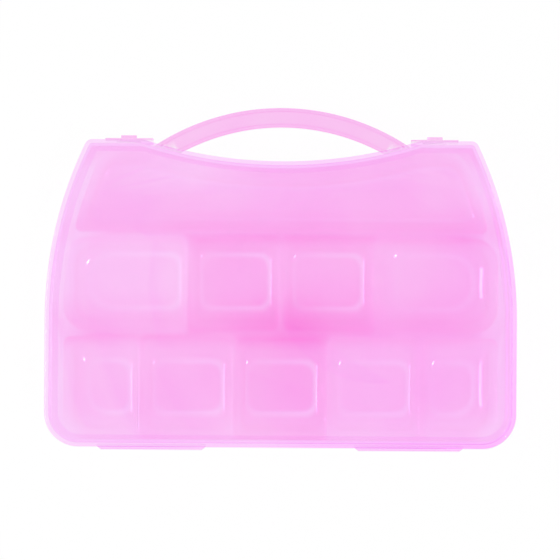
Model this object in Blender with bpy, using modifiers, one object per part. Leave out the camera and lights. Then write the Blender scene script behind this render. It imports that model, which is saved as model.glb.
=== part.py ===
"""Compartment organizer case: a shallow moulded case with a carry handle, lying on its back.

X runs across the case, Y from the hinge edge to the handle, Z from the back up to the lid.
The origin is the middle of the underside's bounding box. All lengths are in metres.
"""

import math

import bmesh
import bpy

MM = 0.001

# Outline of the case, seen from the front
outline_width = 270.0 * MM
outline_height = 175.8 * MM
lower_corner_radius = 19.5 * MM
straight_side_height = 73.0 * MM
side_arc_radius = 234.0 * MM
upper_corner_radius = 4.5 * MM
shoulder_width = 32.0 * MM
shoulder_fillet_radius = 10.0 * MM
waist_depth = 12.1 * MM
smallest_corner_radius = 1.5 * MM

# Depths, from the back up
base_depth = 35.0 * MM
lid_depth = 7.0 * MM
back_thickness = 1.6 * MM
wall_thickness = 1.6 * MM
lid_panel_thickness = 1.4 * MM
back_edge_radius = 4.0 * MM

# Lid rim
bead_overhang = 2.0 * MM
bead_depth = 2.4 * MM
bead_edge_radius = 0.9 * MM
bead_width = 2.6 * MM
panel_recess = 0.6 * MM

# Compartment tray
tray_thickness = 1.2 * MM
tray_height_over_base = 3.4 * MM
tray_rim_ledge = 0.3 * MM
side_land_width = 7.8 * MM
upper_land_width = 4.6 * MM
top_row_height = 42.2 * MM
middle_row_height = 56.9 * MM
row_land_width = 5.0 * MM
column_land_width = 3.0 * MM
column_pitch = 53.4 * MM
well_corner_radius = 4.0 * MM
well_floor_corner_radius = 6.0 * MM
wide_well_corner_radius = 14.0 * MM
well_draft = 0.7 * MM
scoop_height = 13.0 * MM
side_scoop = 6.0 * MM
end_scoop = 13.0 * MM
outer_scoop = 12.0 * MM
long_well_scoop = 6.0 * MM

# Carry handle
handle_opening_height = 19.9 * MM
handle_latch_gap = 2.6 * MM
handle_band = 11.0 * MM
handle_depth = 13.0 * MM
handle_back_height = 11.0 * MM
handle_flange_thickness = 1.8 * MM
handle_web_thickness = 2.0 * MM
handle_edge_radius = 0.5 * MM
handle_foot_depth = 11.0 * MM

# Hinge leaves, two on each half of the case
hinge_leaf_side_margin = 30.15 * MM
hinge_leaf_width = 62.3 * MM
hinge_leaf_reach = 1.65 * MM
hinge_leaf_thickness = 1.4 * MM
hinge_leaf_chamfer = 2.3 * MM
hinge_film_thickness = 0.3 * MM

# Latches
latch_shoulder_margin = 10.2 * MM
latch_width = 27.1 * MM
latch_thickness = 1.5 * MM
latch_stand_off = 1.2 * MM
latch_hinge_height = 22.0 * MM
latch_top_clearance = 0.4 * MM
latch_corner_radius = 1.2 * MM
catch_width = 14.0 * MM
catch_thickness = 1.0 * MM
catch_rise = 0.9 * MM
keeper_height_over_base = 1.5 * MM
thumb_lip_width = 8.9 * MM
thumb_lip_reach = 1.6 * MM
thumb_lip_thickness = 2.2 * MM
latch_root_depth = 2.0 * MM

# Fit
seat_gap = 0.3 * MM
cut_overrun = 2.0 * MM
weld_distance = 0.005 * MM

# Curve resolution
lower_corner_steps = 6
side_arc_steps = 5
upper_corner_steps = 2
shoulder_steps = 2
waist_steps = 7
well_corner_steps = 4
scoop_steps = 3
back_edge_steps = 3
handle_steps = 22
bevel_steps = 2

# Outline of the waist between the shoulders, an arc
side_arc_rise = outline_height - straight_side_height
shoulder_reach = outline_width / 2 - side_arc_radius + math.sqrt(side_arc_radius ** 2 - side_arc_rise ** 2)
waist_half_width = shoulder_reach - shoulder_width
waist_arc_radius = (waist_half_width ** 2 + waist_depth ** 2) / (2 * waist_depth)
waist_height = outline_height - waist_depth

# Places along the two edges
latch_offset = shoulder_reach - latch_shoulder_margin - latch_width / 2
hinge_leaf_offset = outline_width / 2 - hinge_leaf_side_margin - hinge_leaf_width / 2

# Arc of the handle, from beside one latch over to the other
handle_top_height = waist_height + handle_opening_height + handle_band
handle_half_span = latch_offset - latch_width / 2 - handle_latch_gap
handle_rise = handle_top_height - (outline_height - bead_overhang)
handle_outer_radius = (handle_half_span ** 2 + handle_rise ** 2) / (2 * handle_rise)

# Levels
case_depth = base_depth + lid_depth
hinge_axis_reach = hinge_leaf_reach + hinge_film_thickness / 2
tray_top = base_depth + tray_height_over_base
tray_floor_top = back_thickness + seat_gap + tray_thickness
bead_low = case_depth - bead_depth
outline_low = -(handle_top_height - hinge_leaf_reach) / 2
tray_inset = bead_overhang + wall_thickness + seat_gap
well_inset = tray_inset + tray_rim_ledge + tray_thickness
side_well_inset = tray_inset + side_land_width
upper_well_inset = tray_inset + upper_land_width

PINK = (0.93, 0.42, 0.78)
PALE_PINK = (0.90, 0.50, 0.82)


def shade(name, colour, roughness):
    """One plastic material, made once for each node."""
    material = bpy.data.materials.new(name)
    material.use_nodes = True
    shader = material.node_tree.nodes["Principled BSDF"]
    shader.inputs["Base Color"].default_value = (*colour, 1.0)
    shader.inputs["Roughness"].default_value = roughness
    shader.inputs["Metallic"].default_value = 0.0
    return material


def collection(name):
    """A new collection in the scene."""
    group = bpy.data.collections.new(name)
    bpy.context.scene.collection.children.link(group)
    return group


def arc(centre, radius, start, end, steps):
    """Points along an arc, both ends included."""
    points = []
    for step in range(steps + 1):
        angle = start + (end - start) * step / steps
        x = centre[0] + radius * math.cos(angle)
        y = centre[1] + radius * math.sin(angle)
        points.append((x, y))
    return points


def straight(start, end, steps):
    """Points inside a straight run, without its ends."""
    points = []
    for step in range(1, steps):
        share = step / steps
        points.append((start[0] + (end[0] - start[0]) * share, start[1] + (end[1] - start[1]) * share))
    return points


def right_half_outline(inset):
    """The case's right half, from the middle of the hinge edge round to the middle of the waist."""
    half = outline_width / 2
    side_centre = (half - side_arc_radius, straight_side_height)
    corner = max(upper_corner_radius, inset + smallest_corner_radius)
    corner_y = outline_height - corner
    rise = corner_y - side_centre[1]
    corner_x = side_centre[0] + math.sqrt((side_arc_radius - corner) ** 2 - rise ** 2)
    side_end = math.atan2(rise, corner_x - side_centre[0])
    fillet = max(shoulder_fillet_radius, inset + smallest_corner_radius)
    fillet_y = outline_height - fillet
    waist_centre = (0.0, waist_height + waist_arc_radius)
    drop = waist_centre[1] - fillet_y
    fillet_x = math.sqrt((waist_arc_radius + fillet) ** 2 - drop ** 2)
    fillet_end = math.atan2(drop, -fillet_x)
    lower_radius = max(lower_corner_radius - inset, smallest_corner_radius)
    lower_centre = (half - inset - lower_radius, inset + lower_radius)
    quarter = math.pi / 2
    points = arc(lower_centre, lower_radius, -quarter, 0.0, lower_corner_steps)
    points += arc(side_centre, side_arc_radius - inset, 0.0, side_end, side_arc_steps)
    points += arc((corner_x, corner_y), corner - inset, side_end, quarter, upper_corner_steps)
    points += arc((fillet_x, fillet_y), fillet - inset, quarter, fillet_end, shoulder_steps)
    waist_start = math.atan2(fillet_y - waist_centre[1], fillet_x)
    points += arc(waist_centre, waist_arc_radius + inset, waist_start, -quarter, waist_steps)
    return points


def case_outline(inset):
    """The whole outline, drawn in by the inset, as points round the case."""
    right = right_half_outline(inset)
    left = [(-x, y) for x, y in reversed(right[:-1])]
    loop = []
    for x, y in right + left:
        point = (x, y + outline_low)
        if not loop or math.dist(point, loop[-1]) > weld_distance:
            loop.append(point)
    return loop


def mesh_object(name, mesh, group):
    """A new object that holds the mesh."""
    item = bpy.data.objects.new(name, mesh)
    group.objects.link(item)
    return item


def plate(name, outline, low, high, group):
    """A flat outline extruded from one height to another, as a mesh."""
    curve = bpy.data.curves.new(name, "CURVE")
    curve.dimensions = "2D"
    curve.fill_mode = "BOTH"
    curve.extrude = (high - low) / 2
    spline = curve.splines.new("POLY")
    spline.points.add(len(outline) - 1)
    for point, (x, y) in zip(spline.points, outline):
        point.co = (x, y, 0.0, 1.0)
    spline.use_cyclic_u = True
    source = bpy.data.objects.new(name + "_curve", curve)
    group.objects.link(source)
    source.location = (0.0, 0.0, (low + high) / 2)
    bpy.context.view_layer.update()
    evaluated = source.evaluated_get(bpy.context.evaluated_depsgraph_get())
    mesh = bpy.data.meshes.new_from_object(evaluated)
    mesh.transform(source.matrix_world)
    bpy.data.objects.remove(source)
    cage = bmesh.new()
    cage.from_mesh(mesh)
    bmesh.ops.remove_doubles(cage, verts=cage.verts, dist=weld_distance)
    bmesh.ops.dissolve_limit(cage, angle_limit=math.radians(0.5), verts=cage.verts, edges=cage.edges)
    bmesh.ops.recalc_face_normals(cage, faces=cage.faces)
    cage.to_mesh(mesh)
    cage.free()
    return mesh_object(name, mesh, group)


def block(name, low, high, group):
    """A box between two corners."""
    mesh = bpy.data.meshes.new(name)
    cage = bmesh.new()
    bmesh.ops.create_cube(cage, size=1.0)
    for vertex in cage.verts:
        for axis in range(3):
            middle = (low[axis] + high[axis]) / 2
            vertex.co[axis] = middle + vertex.co[axis] * (high[axis] - low[axis])
    cage.to_mesh(mesh)
    cage.free()
    return mesh_object(name, mesh, group)


def loft(name, loops, group):
    """A closed solid through loops of points, each with as many points as the last."""
    mesh = bpy.data.meshes.new(name)
    cage = bmesh.new()
    rings = [[cage.verts.new(point) for point in loop] for loop in loops]
    for lower, upper in zip(rings, rings[1:]):
        for index in range(len(lower)):
            after = (index + 1) % len(lower)
            cage.faces.new((lower[index], lower[after], upper[after], upper[index]))
    cage.faces.new(list(reversed(rings[0])))
    cage.faces.new(rings[-1])
    bmesh.ops.recalc_face_normals(cage, faces=cage.faces)
    cage.to_mesh(mesh)
    cage.free()
    return mesh_object(name, mesh, group)


def rounded_case(name, inset, edge_radius, low, high, group):
    """A solid of the case's outline whose lower edge is rounded."""
    levels = []
    for step in range(back_edge_steps + 1):
        angle = math.pi / 2 * step / back_edge_steps
        drawn_in = inset + edge_radius * (1.0 - math.sin(angle))
        levels.append((drawn_in, low + edge_radius * (1.0 - math.cos(angle))))
    levels.append((inset, high))
    loops = [[(x, y, z) for x, y in case_outline(level_inset)] for level_inset, z in levels]
    return loft(name, loops, group)


def apply_modifiers(item):
    """Replaces the object's mesh with the evaluated one."""
    bpy.context.view_layer.update()
    evaluated = item.evaluated_get(bpy.context.evaluated_depsgraph_get())
    mesh = bpy.data.meshes.new_from_object(evaluated)
    item.modifiers.clear()
    item.data = mesh


def combine(item, other, operation):
    """Joins the other solid to the item or cuts it out, and removes it."""
    modifier = item.modifiers.new(operation.lower(), "BOOLEAN")
    modifier.object = other
    modifier.operation = operation
    modifier.solver = "EXACT"
    apply_modifiers(item)
    bpy.data.objects.remove(other)


def add(item, other):
    """Joins the other solid to the item."""
    combine(item, other, "UNION")


def cut(item, cutter):
    """Cuts the cutter out of the item."""
    combine(item, cutter, "DIFFERENCE")


def round_edges(item, radius, chosen):
    """Bevels the edges that the chosen test picks."""
    mesh = item.data
    weights = mesh.attributes.new("bevel_weight_edge", "FLOAT", "EDGE")
    for edge in mesh.edges:
        ends = [mesh.vertices[index].co for index in edge.vertices]
        weights.data[edge.index].value = 1.0 if chosen(*ends) else 0.0
    modifier = item.modifiers.new("round_edges", "BEVEL")
    modifier.limit_method = "WEIGHT"
    modifier.width = radius
    modifier.segments = bevel_steps
    apply_modifiers(item)


def finish(item, material):
    """Gives the node its material and smooth round faces."""
    item.data.materials.clear()
    item.data.materials.append(material)
    item.data.shade_smooth()
    item.data.set_sharp_from_angle(angle=math.radians(35.0))


def level_edge(start, end):
    """A test for edges that run level."""
    return abs(start.z - end.z) < weld_distance


def side_reach(y, inset):
    """Half the width between the case's sides at a height above the hinge edge, less the inset."""
    above = max(y - straight_side_height, 0.0)
    radius = side_arc_radius - inset
    return outline_width / 2 - side_arc_radius + math.sqrt(radius ** 2 - above ** 2)


def top_edge(x, inset):
    """Height of the case's upper edge above the hinge edge, less the inset."""
    radius = waist_arc_radius + inset
    arc_height = waist_height + waist_arc_radius - math.sqrt(radius ** 2 - x ** 2)
    return min(arc_height, outline_height - inset)


# Corners of a well in order, with the side that runs from each to the next and its steps
corner_places = (("upper_right", 1, 1), ("upper_left", -1, 1),
                 ("lower_left", -1, -1), ("lower_right", 1, -1))
runs = (("top", waist_steps * 2), ("left", side_arc_steps), ("bottom", 1), ("right", side_arc_steps))


class Well:
    """One compartment: the lines that bound its mouth, its corners' radii and its scoops."""

    def __init__(self, name, left, right, low, high, follows=(), radii=None, scoops=None):
        self.name = name
        self.sides = {"left": left, "right": right, "bottom": low, "top": high}
        self.follows = follows
        self.radii = radii or {}
        self.scoops = {"left": side_scoop, "right": side_scoop, "bottom": end_scoop, "top": end_scoop}
        self.scoops.update(scoops or {})

    def unit_loop(self, radius, half_x, half_y):
        """A rounded rectangle as shares of the well's section, from -1 to 1 across and up."""
        corners = []
        for quarter, (corner, sign_x, sign_y) in enumerate(corner_places):
            own = min(max(self.radii.get(corner, radius), radius), half_x, half_y)
            centre = (sign_x * (half_x - own), sign_y * (half_y - own))
            start = quarter * math.pi / 2
            corners.append(arc(centre, own, start, start + math.pi / 2, well_corner_steps))
        loop = []
        for (side, steps), points, following in zip(runs, corners, corners[1:] + corners[:1]):
            loop += points
            if side in self.follows:
                loop += straight(points[-1], following[0], steps)
        return [(x / half_x, y / half_y) for x, y in loop]

    def loop(self, bend, out, radius, z):
        """The well's section at one height: how far its scoops have bent in, less the skin."""
        drawn = {side: bend * scoop + out for side, scoop in self.scoops.items()}
        left = self.sides["left"] + drawn["left"]
        right = self.sides["right"] - drawn["right"]
        low = self.sides["bottom"] + drawn["bottom"]
        high = self.sides["top"] - drawn["top"]
        points = []
        for u, v in self.unit_loop(radius, (right - left) / 2, (high - low) / 2):
            y = low + (high - low) * (v + 1) / 2
            near = left
            far = right
            if "left" in self.follows:
                near = -side_reach(y, side_well_inset + drawn["left"])
            if "right" in self.follows:
                far = side_reach(y, side_well_inset + drawn["right"])
            x = near + (far - near) * (u + 1) / 2
            if "top" in self.follows:
                y = low + (top_edge(x, upper_well_inset + drawn["top"]) - low) * (v + 1) / 2
            points.append((x, y + outline_low, z))
        return points

    def solid(self, name, skin, top, group):
        """The well's space, or with a skin the outside of its wall, up to the top level."""
        radius = well_corner_radius + skin
        floor_radius = well_floor_corner_radius + skin
        loops = [self.loop(0.0, -skin, radius, top)]
        for step in range(scoop_steps + 1):
            angle = math.pi / 2 * step / scoop_steps
            bend = 1.0 - math.cos(angle)
            z = tray_floor_top + scoop_height * (1.0 - math.sin(angle)) - skin * math.sin(angle)
            corner = radius + (floor_radius - radius) * bend
            loops.append(self.loop(bend, well_draft - skin * math.cos(angle), corner, z))
        loops.reverse()
        return loft(name, loops, group)


def compartments():
    """The ten compartments: five below, four in the middle row, and a long one on top."""
    row_half = row_land_width / 2
    column_half = column_land_width / 2
    edge = outline_width / 2 - side_well_inset
    upper = waist_height - top_row_height
    lower = upper - middle_row_height
    wells = []
    for place in range(-2, 3):
        left = (place - 0.5) * column_pitch + column_half
        right = (place + 0.5) * column_pitch - column_half
        radii = {}
        scoops = {}
        if place == -2:
            left = -edge
            radii = {"lower_left": wide_well_corner_radius}
            scoops = {"left": outer_scoop}
        if place == 2:
            right = edge
            radii = {"lower_right": wide_well_corner_radius}
            scoops = {"right": outer_scoop}
        name = "lower_well_" + str(place + 3)
        wells.append(Well(name, left, right, well_inset, lower - row_half, radii=radii, scoops=scoops))
    middle_low = lower + row_half
    middle_high = upper - row_half
    for place in (-1, 0):
        left = place * column_pitch + column_half
        right = (place + 1) * column_pitch - column_half
        wells.append(Well("middle_well_" + str(place + 3), left, right, middle_low, middle_high))
    left_corners = {"upper_left": wide_well_corner_radius, "lower_left": wide_well_corner_radius}
    right_corners = {"upper_right": wide_well_corner_radius, "lower_right": wide_well_corner_radius}
    wells.append(Well("middle_well_1", -edge, -column_pitch - column_half, middle_low, middle_high,
                      radii=left_corners, scoops={"left": outer_scoop}))
    wells.append(Well("middle_well_4", column_pitch + column_half, edge, middle_low, middle_high,
                      radii=right_corners, scoops={"right": outer_scoop}))
    long_scoops = {"bottom": long_well_scoop, "top": long_well_scoop}
    wells.append(Well("top_well", -edge, edge, upper + row_half, outline_height - upper_well_inset,
                      follows=("left", "right", "top"), scoops=long_scoops))
    return wells


def make_base_shell(parts, cutters):
    """The back half of the case, with the roots of the two latches."""
    rim = base_depth - seat_gap / 2
    shell = rounded_case("base_shell", bead_overhang, back_edge_radius, 0.0, rim, parts)
    hollow = rounded_case("base_hollow", bead_overhang + wall_thickness, back_edge_radius - wall_thickness,
                          back_thickness, rim + cut_overrun, cutters)
    cut(shell, hollow)
    wall_top = outline_low + outline_height - bead_overhang
    face = wall_top + latch_stand_off + latch_thickness
    root_high = latch_hinge_height - seat_gap / 2
    for side in (-1, 1):
        middle = side * latch_offset
        low = (middle - latch_width / 2, wall_top - wall_thickness / 2, root_high - latch_root_depth)
        high = (middle + latch_width / 2, face, root_high)
        add(shell, block("latch_root", low, high, cutters))
    finish(shell, shade("base_shell_plastic", PINK, 0.35))
    return shell


def make_tray(parts, cutters):
    """The tray with its ten scooped wells, standing on the back panel."""
    tray = plate("compartment_tray", case_outline(tray_inset), tray_top - tray_thickness, tray_top, parts)
    wells = compartments()
    for well in wells:
        add(tray, well.solid(well.name + "_outside", tray_thickness, tray_top - tray_thickness / 2, cutters))
    for well in wells:
        cut(tray, well.solid(well.name + "_inside", 0.0, tray_top + cut_overrun, cutters))
    finish(tray, shade("tray_plastic", PINK, 0.35))
    return tray


def ring_sector(outer, inner, half_angle):
    """Outline of the handle's band between two radii, centred on the Y axis."""
    centre = (0.0, outline_low + handle_top_height - handle_outer_radius)
    start = math.pi / 2 - half_angle
    end = math.pi / 2 + half_angle
    points = arc(centre, outer, start, end, handle_steps)
    points += arc(centre, inner, end, start, handle_steps)
    return points


def make_handle(parts, cutters):
    """The arched carry handle: two flanges and a web, its feet on the case's upper wall."""
    outer = handle_outer_radius
    inner = handle_outer_radius - handle_band
    foot_rise = outline_height - handle_foot_depth - (handle_top_height - outer)
    half_angle = math.acos(foot_rise / outer)
    low = handle_back_height
    high = handle_back_height + handle_depth
    middle = (low + high) / 2
    handle = plate("carry_handle", ring_sector(outer, inner, half_angle), low, high, parts)
    round_edges(handle, handle_edge_radius, level_edge)
    pocket = ring_sector(outer - handle_flange_thickness, inner + handle_flange_thickness,
                         half_angle + cut_overrun / outer)
    web_half = handle_web_thickness / 2
    cut(handle, plate("front_pocket", pocket, middle + web_half, high + cut_overrun, cutters))
    cut(handle, plate("back_pocket", pocket, low - cut_overrun, middle - web_half, cutters))
    seat = case_outline(bead_overhang - seat_gap)
    cut(handle, plate("handle_seat", seat, low - cut_overrun, high + cut_overrun, cutters))
    finish(handle, shade("handle_plastic", PALE_PINK, 0.35))
    return handle


def make_lid(parts, cutters):
    """The lid: a recessed panel inside a raised bead, its wall and the two latch keepers."""
    wall_low = base_depth + seat_gap / 2
    lid = plate("lid", case_outline(bead_overhang), wall_low, case_depth - bead_depth / 2, parts)
    bead = plate("lid_bead", case_outline(0.0), bead_low, case_depth, cutters)
    round_edges(bead, bead_edge_radius, level_edge)
    add(lid, bead)
    recess_outline = case_outline(bead_width)
    recess_low = case_depth - panel_recess
    cut(lid, plate("lid_recess", recess_outline, recess_low, case_depth + cut_overrun, cutters))
    hollow_outline = case_outline(bead_overhang + wall_thickness)
    hollow_high = recess_low - lid_panel_thickness
    cut(lid, plate("lid_hollow", hollow_outline, base_depth - cut_overrun, hollow_high, cutters))
    wall_top = outline_low + outline_height - bead_overhang
    keeper_low = base_depth + keeper_height_over_base
    for side in (-1, 1):
        middle = side * latch_offset
        low = (middle - catch_width / 2, wall_top - wall_thickness / 2, keeper_low)
        high = (middle + catch_width / 2, wall_top + catch_rise, keeper_low + catch_thickness)
        add(lid, block("keeper", low, high, cutters))
    finish(lid, shade("lid_plastic", PINK, 0.25))
    return lid


def make_latch(name, side, parts, cutters):
    """A snap latch: a plate that hinges on the base and hooks over the lid's keeper."""
    wall_top = outline_low + outline_height - bead_overhang
    inner_face = wall_top + latch_stand_off
    outer_face = inner_face + latch_thickness
    low = latch_hinge_height + seat_gap / 2
    high = bead_low - latch_top_clearance
    middle = side * latch_offset
    half = latch_width / 2
    latch = block(name, (middle - half, inner_face, low), (middle + half, outer_face, high), parts)

    def upright_corner(start, end):
        across = abs(start.y - end.y) > weld_distance
        return across and min(start.z, end.z) > (low + high) / 2

    round_edges(latch, latch_corner_radius, upright_corner)
    hook_low = base_depth + keeper_height_over_base + catch_thickness + seat_gap
    catch_half = catch_width / 2
    hook_tip = inner_face - catch_rise
    hook_root = inner_face + latch_thickness / 2
    add(latch, block("hook", (middle - catch_half, hook_tip, hook_low),
                     (middle + catch_half, hook_root, hook_low + catch_thickness), cutters))
    lip_half = thumb_lip_width / 2
    add(latch, block("thumb_lip", (middle - lip_half, hook_root, high - thumb_lip_thickness),
                     (middle + lip_half, outer_face + thumb_lip_reach, high), cutters))
    finish(latch, shade(name + "_plastic", PALE_PINK, 0.35))
    return latch


def make_hinge_leaf(name, side, low, high, parts):
    """A wide flat leaf along the hinge edge, with chamfered ends."""
    middle = side * hinge_leaf_offset
    half = hinge_leaf_width / 2
    wall = outline_low + bead_overhang - seat_gap
    edge = outline_low - hinge_leaf_reach
    right = [(half, wall), (half, outline_low), (half - hinge_leaf_chamfer, edge)]
    left = [(-x, y) for x, y in reversed(right)]
    outline = [(middle + x, y) for x, y in right + left]
    leaf = plate(name, outline, low, high, parts)
    finish(leaf, shade(name + "_plastic", PINK, 0.35))
    return leaf


def pivot(name, location, parts, items):
    """An empty on a joint's axis that carries the moving pieces."""
    empty = bpy.data.objects.new(name, None)
    empty.location = location
    parts.objects.link(empty)
    bpy.context.view_layer.update()
    for item in items:
        item.parent = empty
        item.matrix_parent_inverse = empty.matrix_world.inverted()
    return empty


def main():
    for item in list(bpy.data.objects):
        bpy.data.objects.remove(item)
    parts = collection("compartment_organizer_case")
    cutters = collection("cutters")
    make_base_shell(parts, cutters)
    make_tray(parts, cutters)
    make_handle(parts, cutters)
    lid_pieces = [make_lid(parts, cutters)]
    half_gap = seat_gap / 2
    base_leaf_high = base_depth - half_gap
    lid_leaf_low = base_depth + half_gap
    for side, word in ((-1, "left"), (1, "right")):
        make_hinge_leaf("base_hinge_leaf_" + word, side, base_leaf_high - hinge_leaf_thickness,
                        base_leaf_high, parts)
        lid_pieces.append(make_hinge_leaf("lid_hinge_leaf_" + word, side, lid_leaf_low,
                                          lid_leaf_low + hinge_leaf_thickness, parts))
        latch = make_latch("latch_" + word, side, parts, cutters)
        latch_face = outline_low + outline_height - bead_overhang + latch_stand_off + latch_thickness
        pivot("latch_axis_" + word, (side * latch_offset, latch_face, latch_hinge_height), parts, [latch])
    pivot("lid_hinge_axis", (0.0, outline_low - hinge_axis_reach, base_depth), parts, lid_pieces)


main()
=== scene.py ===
import math

import bmesh
import bpy
from mathutils import Matrix, Vector


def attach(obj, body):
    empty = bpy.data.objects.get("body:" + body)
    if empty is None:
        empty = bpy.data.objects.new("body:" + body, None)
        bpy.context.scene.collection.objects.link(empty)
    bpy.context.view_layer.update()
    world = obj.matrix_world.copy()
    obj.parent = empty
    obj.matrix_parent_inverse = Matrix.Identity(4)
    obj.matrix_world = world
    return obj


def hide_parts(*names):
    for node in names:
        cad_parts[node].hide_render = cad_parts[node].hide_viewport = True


# Looks of the compartment organizer case: see-through pink moulded plastic, lying on a white table.
# X runs across the case, Y from the hinge edge to the handle, Z from the back up to the lid.
# Lengths are in metres, but the camera's sensor and lens are in millimetres.
# The pieces stand where the CAD nodes of the same kind stand.

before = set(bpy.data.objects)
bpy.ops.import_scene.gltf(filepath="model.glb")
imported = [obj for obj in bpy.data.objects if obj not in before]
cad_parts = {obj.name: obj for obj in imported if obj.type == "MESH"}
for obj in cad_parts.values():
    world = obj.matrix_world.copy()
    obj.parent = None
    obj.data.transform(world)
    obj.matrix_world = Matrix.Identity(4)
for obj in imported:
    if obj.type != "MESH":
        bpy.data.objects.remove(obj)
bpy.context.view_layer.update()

MM = 0.001

# Outline of the case, seen from the front
outline_width = 270.0 * MM
outline_height = 175.8 * MM
lower_corner_radius = 19.5 * MM
straight_side_height = 73.0 * MM
side_arc_radius = 234.0 * MM
upper_corner_radius = 4.5 * MM
shoulder_width = 32.0 * MM
shoulder_fillet_radius = 10.0 * MM
waist_depth = 12.1 * MM
smallest_corner_radius = 1.5 * MM

# Depths, from the back up
base_depth = 35.0 * MM
lid_depth = 7.0 * MM
back_thickness = 1.6 * MM
wall_thickness = 1.6 * MM
lid_panel_thickness = 1.4 * MM
back_edge_radius = 4.0 * MM
rim_edge_radius = 0.35 * MM

# Lid rim
bead_overhang = 2.0 * MM
bead_depth = 2.4 * MM
bead_edge_radius = 0.9 * MM
bead_width = 2.6 * MM
bead_inner_radius = 0.5 * MM
panel_recess = 0.6 * MM

# Compartment tray
tray_thickness = 1.2 * MM
tray_height_over_base = 3.4 * MM
tray_rim_ledge = 0.3 * MM
tray_edge_radius = 0.3 * MM
tray_lower_edge_radius = 0.1 * MM
mouth_edge_radius = 0.8 * MM
side_land_width = 7.8 * MM
upper_land_width = 4.6 * MM
top_row_height = 42.2 * MM
middle_row_height = 56.9 * MM
row_land_width = 5.0 * MM
column_land_width = 3.0 * MM
column_pitch = 53.4 * MM
well_corner_radius = 4.0 * MM
well_floor_corner_radius = 6.0 * MM
wide_well_corner_radius = 14.0 * MM
well_draft = 0.7 * MM
scoop_height = 13.0 * MM
side_scoop = 4.7 * MM
end_scoop = 13.0 * MM
middle_upper_scoop = 8.0 * MM
middle_lower_scoop = 11.7 * MM
outer_scoop = 12.0 * MM
wide_well_right_scoop = 3.0 * MM
wide_well_left_scoop = 11.0 * MM
long_well_scoop = 6.0 * MM

# Carry handle
handle_opening_height = 19.9 * MM
handle_latch_gap = 2.6 * MM
handle_band = 11.0 * MM
handle_depth = 13.0 * MM
handle_back_height = 11.0 * MM
handle_flange_thickness = 1.8 * MM
handle_web_thickness = 2.0 * MM
handle_edge_radius = 0.6 * MM
handle_fillet_radius = 0.8 * MM
handle_foot_depth = 11.0 * MM

# Hinge leaves
hinge_leaf_side_margin = 30.15 * MM
hinge_leaf_width = 62.3 * MM
hinge_leaf_reach = 1.65 * MM
hinge_leaf_thickness = 1.4 * MM
hinge_leaf_chamfer = 2.3 * MM

# Latches
latch_shoulder_margin = 10.2 * MM
latch_width = 27.1 * MM
latch_thickness = 1.5 * MM
latch_stand_off = 1.2 * MM
latch_hinge_height = 22.0 * MM
latch_top_clearance = 0.4 * MM
catch_width = 14.0 * MM
catch_thickness = 1.0 * MM
catch_rise = 0.9 * MM
keeper_height_over_base = 1.5 * MM
thumb_lip_width = 8.9 * MM
thumb_lip_reach = 1.6 * MM
thumb_lip_thickness = 2.2 * MM
latch_root_depth = 2.0 * MM
small_edge_radius = 0.35 * MM

# Fit
seat_gap = 0.3 * MM
flat_ring = 0.2 * MM
weld_distance = 0.002 * MM
cut_overrun = 2.0 * MM
sharp_edge_angle = math.radians(40.0)
floor_insets = (flat_ring, 2.2 * MM, 4.5 * MM)
floor_shares = (0.8, 0.6, 0.4, 0.2)

# Colour depth of the plastic, with painted light and shade in it: 1 is the usual depth, 0 is clear
# Painted light: the usual depth a little paler towards the left, where more light falls
left_light_lean = 0.04
# Each well's own depth holds painted light and shade: paler wells at the left, deeper ones in the middle
lower_well_shade_depths = (0.85, 1.15, 1.5, 0.93, 0.88)
lower_well_floor_highlights = (0.25, 0.35, 0.55, 0.25, 0.2)
middle_well_shade_depths = (0.58, 1.35, 1.4, 1.02)
middle_well_floor_highlights = (0.2, 0.5, 0.45, 0.15)
top_well_shade_depth = 0.92
top_well_floor_highlight = 0.1
# Painted light makes the land along the sides pale; painted shade deepens it towards the right and with the
# rows
lit_side_land_depth = 0.08
side_land_share = 0.6
side_land_shade_lean = 0.1
upper_land_gain = 0.5
upper_land_reach = 10.0 * MM
column_depth = 1.15
column_share = 0.5
# Painted light: the outer scoops paler by the case's sides
outer_painted_light = 0.4
corner_sharpness = 12
scoop_shade_end = 0.8
# Painted shade in bands along the lands between the rows, with a shaded patch in the middle; painted light
# at the upper left and along the hinge edge
upper_row_shade = 0.75
upper_row_below = 5.0 * MM
upper_row_above = 15.0 * MM
upper_row_left_light = 0.6
upper_row_left_x = -95.0 * MM
upper_row_left_reach = 45.0 * MM
lower_row_shade = 0.68
lower_row_shade_lean = 0.25
lower_row_below = 6.0 * MM
lower_row_above = 18.0 * MM
shade_spot_x = 4.0 * MM
shade_spot_reach = 24.0 * MM
shade_spot_gain = 0.68
light_spot_x = -60.0 * MM
light_spot_height = 158.0 * MM
light_spot_reach = 35.0 * MM
light_spot_rise = 14.0 * MM
light_spot_gain = 0.45
hinge_edge_light = 0.42
hinge_edge_height = 6.0 * MM
hinge_edge_reach = 12.0 * MM
# Painted highlight in a line round each well's floor, strongest at the lower right
foot_light = 0.6
foot_lean = 0.2
foot_start = 0.75
foot_width = 2.2 * MM
# The bead is deeper; painted shade deepens the bead and the walls towards the lower right
bead_gain = 0.3
bead_shade_lean = 1.1
bead_low_gain = 0.1
wall_shade_gain = 0.2
leaf_depth = 0.95
overlap_depth = 0.05
handle_flange_tone = 1.06
handle_web_tone = 0.98
handle_foot_tone = 0.2

# Colours: what a usual depth leaves of white light, and what the milky share scatters
pink_tint = (1.0, 0.875, 1.0)
tray_tint = (1.0, 0.875, 0.96)
pale_tint = (1.0, 0.76, 0.965)
pink_body = (1.0, 0.52, 0.94)
pale_body = (1.0, 0.66, 0.96)
cloud_body_shares = (1.0, 0.86, 0.97)

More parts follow.
